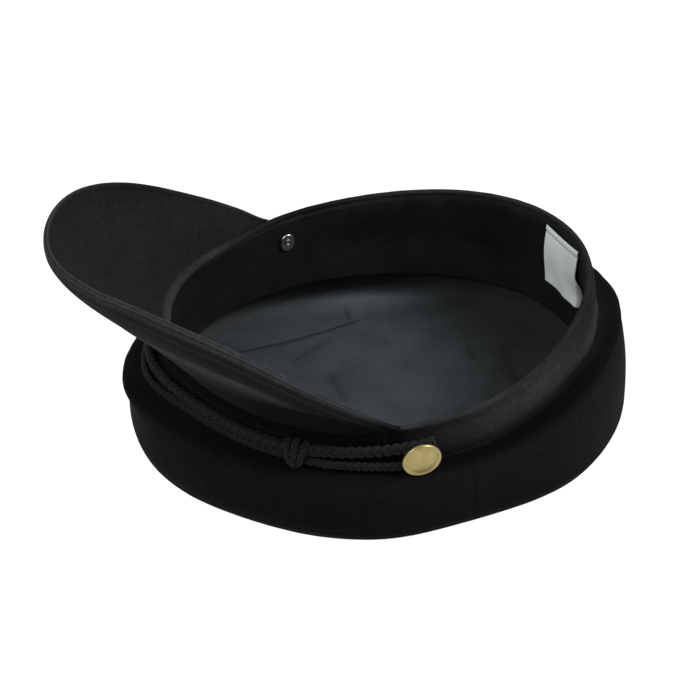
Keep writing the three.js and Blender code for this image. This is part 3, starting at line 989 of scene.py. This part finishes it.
# Cords: two plaits held between the buttons, bound by a knot on each side
def cord_place(share, column):
    side = np.abs(share)
    angle = math.radians(BUTTON_ANGLE) * share
    height = seam_at(angle) + CORD_DIAMETER * from_table(CORD_RUN, column, side)
    further = CORD_DIAMETER * from_table(CORD_RUN, 3, side) if column == 2 else 0.0
    out = BAND_OUTER + 0.3 + CORD_DIAMETER / 2 + further
    return station(angle, out, height)


PLAITS = (
    # name, column of the cord's table, share of the button's angle, pitch, scale, start of the weave
    ("cord_upper_plait", 1, 1.035, 12.0, 1.0, 0.0),
    ("cord_lower_plait", 2, 1 - 4.2 / (91.0 * math.radians(BUTTON_ANGLE)), 9.0, 0.76, 1.3),
)
PLAIT_STEP = 0.42
STRAND_RADIUS = 1.3


def plait(column, end, pitch, scale, seed):
    share = np.linspace(-end, end, 1400)
    line = cord_place(share, column)
    size = np.linalg.norm(np.diff(line, axis=0, prepend=line[:1]), axis=-1).cumsum()
    count = int(size[-1] / PLAIT_STEP)
    even = np.linspace(0, size[-1], count)
    centre = np.stack([np.interp(even, size, line[:, k]) for k in range(3)], axis=-1)
    tangent = np.gradient(centre, axis=0)
    tangent /= np.linalg.norm(tangent, axis=1, keepdims=True)
    up = np.array([0.0, 0.0, 1.0]) - tangent * tangent[:, 2:3]
    up /= np.linalg.norm(up, axis=1, keepdims=True)
    out = np.cross(tangent, up)
    grids = []
    loose = 1 + 0.06 * np.sin(even / 9.0 + seed)
    for k in range(3):
        phase = TURN * (even / pitch + k / 3.0) + seed
        wide = 1.55 * scale * loose * np.sin(phase)
        deep = 0.72 * scale * np.sin(2 * phase)
        path = centre + up * wide[:, None] + out * deep[:, None]
        grids.append(tube_parts(path, STRAND_RADIUS * scale, 10))
    return grids


def build_cord():
    covers = ("braided_cord",)
    for name, column, end, pitch, scale, seed in PLAITS:
        tubes_piece(name, plait(column, end, pitch, scale, seed), CORD, covers)
        covers = ()


KNOT_LOOPS = (
    # place along the cord, tilt, half height, half depth
    (-3.6, -0.22, 5.4, 3.3),
    (-0.9, 0.02, 6.2, 3.9),
    (1.9, 0.3, 5.3, 3.4),
)
KNOT_TWISTS = 7


def build_knot(sign, name):
    angle = sign * math.radians(KNOT_ANGLE)
    share = np.array([sign * KNOT_ANGLE / BUTTON_ANGLE])
    middle = (cord_place(share, 1)[0] + cord_place(share, 2)[0]) / 2
    normal = wall_normal(angle, BAND_OUTER)
    along = np.cross([0.0, 0.0, 1.0], normal)
    up = np.array([0.0, 0.0, 1.0])
    grids = []
    turn = np.linspace(0, TURN, 72, endpoint=False)
    for place, tilt, tall, deep in KNOT_LOOPS:
        rise = tall * np.sign(np.sin(turn)) * np.abs(np.sin(turn)) ** 0.8
        out = deep * np.cos(turn)
        for strand in range(2):
            twist = KNOT_TWISTS * turn + TURN * strand / 2
            path = middle + np.outer(out + 0.55 * np.cos(twist), normal) + np.outer(rise, up)
            path = path + np.outer(place + tilt * rise + 0.75 * np.sin(twist), along)
            grids.append(tube_parts(path, 1.15, 10, closed=True, around=along))
    return tubes_piece(name, grids, CORD, (), closed=True)


# Buttons
def wall_normal(angle, offset):
    run = station(angle + 0.03, offset, 0.0) - station(angle - 0.03, offset, 0.0)
    normal = np.array([run[1], -run[0], 0.0])
    return normal / np.linalg.norm(normal)


def wall_frame(angle, offset, height):
    normal = wall_normal(angle, offset)
    up = np.array([0.0, 0.0, 1.0])
    return station(angle, offset, height), np.cross(up, normal), up, normal


def turned_piece(name, profile, steps, basis, material, replaces=()):
    place, along, up, normal = basis
    turn = np.linspace(0, TURN, steps, endpoint=False)
    profile = np.asarray(profile, float)
    r = profile[None, :, 0]
    grid = (
        place
        + (r * np.cos(turn)[:, None])[..., None] * along
        + (r * np.sin(turn)[:, None])[..., None] * up
        + np.broadcast_to(profile[None, :, 1], (steps, len(profile)))[..., None] * normal
    )
    rows, columns = grid.shape[:2]
    faces = grid_faces(rows, columns, True, False)
    points = grid.reshape(-1, 3)
    centred = points - points.mean(axis=0)
    faces.append([i * columns for i in range(rows)])
    faces.append([i * columns + columns - 1 for i in range(rows)][::-1])
    if signed(centred, faces) < 0:
        faces = [f[::-1] for f in faces]
    return mesh_object(name, points, faces, grid_uvs(grid), material, replaces)


def build_button(sign, node_name):
    place, along, up, normal = wall_frame(
        sign * math.radians(BUTTON_ANGLE), BAND_OUTER, BUTTON_HEIGHT - sign * BUTTON_SWAY
    )
    tilt = math.radians(BUTTON_TILT)
    lifted = BUTTON_RAISE + BUTTON_STANDOFF * math.sin(tilt) if sign > 0 else -FAR_BUTTON_SAG
    place = place - along * sign * BUTTON_FORWARD + up * lifted
    normal, up = normal * math.cos(tilt) - up * math.sin(tilt), up * math.cos(tilt) + normal * math.sin(tilt)
    basis = (place, along, up, normal)
    face = BUTTON_STANDOFF + BUTTON_THICKNESS
    bead = 1.1
    profile = [(0.05, 0.6), (1.3, 0.6), (1.3, BUTTON_STANDOFF + 0.1), (7.6, BUTTON_STANDOFF)]
    for a in np.linspace(-0.45 * np.pi, 0.62 * np.pi, 16):
        out = BUTTON_RADIUS - bead + bead * math.cos(a)
        profile.append((out, BUTTON_STANDOFF + 1.5 + bead * math.sin(a)))
    dome_radius = 7.3
    for r in np.linspace(dome_radius, 0.05, 18):
        dome = 1.15 * (1 - (r / dome_radius) ** 2)
        profile.append((r, face - 1.35 + dome))
    return turned_piece(node_name + "_gold", profile, 96, basis, GOLD, (node_name,))


def build_button_back(sign, node_name):
    angle = sign * math.radians(BUTTON_ANGLE)
    place, along, up, normal = wall_frame(angle, 0.0, BUTTON_HEIGHT - sign * BUTTON_SWAY)
    basis = (place, along, BACK_TALL * up, normal)
    profile = [
        (0.03, -1.15), (0.7, -1.2), (1.0, -1.7), (1.35, -1.75), (1.6, -1.3), (2.5, -1.2),
        (3.1, -1.45), (3.6, -1.4), (3.95, -1.0), (4.0, -0.5), (3.6, -0.2), (0.03, -0.2),
    ]
    return turned_piece(node_name + "_silver", profile, 64, basis, SILVER, (node_name,))


# Label: bare satin, a folded hem sewn along its top, its lower corner rolled over
def build_label():
    half = LABEL_WIDTH / 2
    across = np.linspace(-1, 1, 70)
    down = np.linspace(0, 1, 60)
    s, t = np.meshgrid(across, down, indexing="ij")
    start = -0.72
    roll_radius = 2.4
    past = np.maximum(start - s, 0.0) * half
    bend = np.maximum(smooth(t, 0.4, 0.8) / roll_radius, 1e-4)
    run = np.sin(past * bend) / bend
    rise = (np.cos(past * bend) - 1) / bend
    along = np.where(s < start, start * half - run, s * half)
    angle = math.radians(LABEL_ANGLE) + along / HALF_WIDTH
    high = rim_at(math.radians(LABEL_ANGLE) + s * half / HALF_WIDTH) - LABEL_DROP - LABEL_TILT * s
    high = high - 2.8 * (1 - s * s) * (1 - 0.5 * t)
    lean = 2.2 * smooth(-s, -0.7, 0.75) * smooth(t, 0.2, 0.8)
    away = 0.75 + 1.5 * np.sin(np.pi * t ** 0.85) + 0.3 * np.sin(2.6 * s + 0.8) * t + lean + rise
    away = away + 0.8 * fuzz(np.stack([s * 15, t * 16, s * 0], axis=-1), 9.0, 21.0) * t
    away = away + 0.45 * (1 - smooth(t, 0.075, 0.095)) - 0.35 * bell(t, 0.1, 0.012)
    height = high - LABEL_LENGTH * t - 1.0 * smooth(-s, 0.2, 1.0) * t ** 2
    front = station(angle, -away, height)
    turned = np.where(s < start, past * bend, 0.0)
    thick = 0.32
    back = station(angle - thick * np.sin(turned) / HALF_WIDTH, -(away - thick * np.cos(turned)), height)
    grid = np.concatenate([front, back[:, ::-1]], axis=1)
    # painted shade along the hem's fold, on the rolled corner and over the whole back
    fold_shade = (1 - 0.55 * bell(t, 0.1, 0.014)) * (1 - 0.5 * smooth(turned, 0.3, 0.9))
    painted_light_and_shade = np.concatenate([fold_shade, 0.45 + 0 * t], axis=1)
    piece = sheet_piece("label_satin", grid, SATIN, ("label",), painted_light_and_shade)
    return piece


build_crown_side()
build_crown_top()
build_lining()
build_band()
build_sweatband()
build_peak()
build_cord()
build_knot(1, "knot_right")
build_knot(-1, "knot_left")
build_button(1, "button_right")
build_button(-1, "button_left")
build_button_back(1, "button_back_right")
build_button_back(-1, "button_back_left")
build_label()


# Floor, light and sky
def build_stage():
    mesh = bpy.data.meshes.new("floor")
    size = 6.0
    low = -0.0006
    corners = [(-size, -size, low), (size, -size, low), (size, size, low), (-size, size, low)]
    mesh.from_pydata(corners, [], [(0, 1, 2, 3)])
    floor = bpy.data.objects.new("floor", mesh)
    bpy.context.scene.collection.objects.link(floor)
    material, _, shader = new_material("floor_white")
    shader.inputs["Base Color"].default_value = (0.1, 0.1, 0.1, 1.0)
    shader.inputs["Roughness"].default_value = 1.0
    shader.inputs["Specular IOR Level"].default_value = 0.0
    shader.inputs["Emission Color"].default_value = (1.0, 1.0, 1.0, 1.0)
    shader.inputs["Emission Strength"].default_value = 1.0
    mesh.materials.append(material)
    floor.visible_diffuse = False


LIGHT_AIM = (0.0, 0.0, 0.03)
LIGHTS = (
    # name, place, width and height in metres, watts
    ("key", (0.75, 1.1, 1.35), (0.7, 0.7), 27.0),
    ("fill", (0.5, -1.3, 1.1), (1.2, 1.0), 12.0),
)


def area_light(name, place, size, energy):
    data = bpy.data.lights.new(name, "AREA")
    data.shape = "RECTANGLE"
    data.size = size[0]
    data.size_y = size[1]
    data.energy = energy
    lamp = bpy.data.objects.new(name, data)
    bpy.context.scene.collection.objects.link(lamp)
    lamp.location = place
    lamp.rotation_euler = (Vector(LIGHT_AIM) - Vector(place)).to_track_quat("-Z", "Y").to_euler()


def build_sky():
    world = bpy.data.worlds.new("sky")
    bpy.context.scene.world = world
    world.use_nodes = True
    tree = world.node_tree
    coords = node(tree, "ShaderNodeTexCoord")
    split = node(tree, "ShaderNodeSeparateXYZ")
    tree.links.new(coords.outputs["Generated"], split.inputs["Vector"])
    lift = node(tree, "ShaderNodeMapRange")
    lift.inputs["From Min"].default_value = -0.3
    lift.inputs["From Max"].default_value = 0.9
    tree.links.new(split.outputs["Z"], lift.inputs["Value"])
    shades = [(0.0, (0.03, 0.03, 0.03)), (0.25, (0.3, 0.3, 0.3)), (1.0, (0.52, 0.53, 0.55))]
    sky = ramp(tree, lift.outputs["Result"], shades)
    tree.links.new(sky, tree.nodes["Background"].inputs["Color"])
    tree.nodes["Background"].inputs["Strength"].default_value = 1.0


build_stage()
for light in LIGHTS:
    area_light(*light)
build_sky()
bpy.context.scene.view_settings.view_transform = "Standard"
bpy.context.scene.view_settings.look = "None"
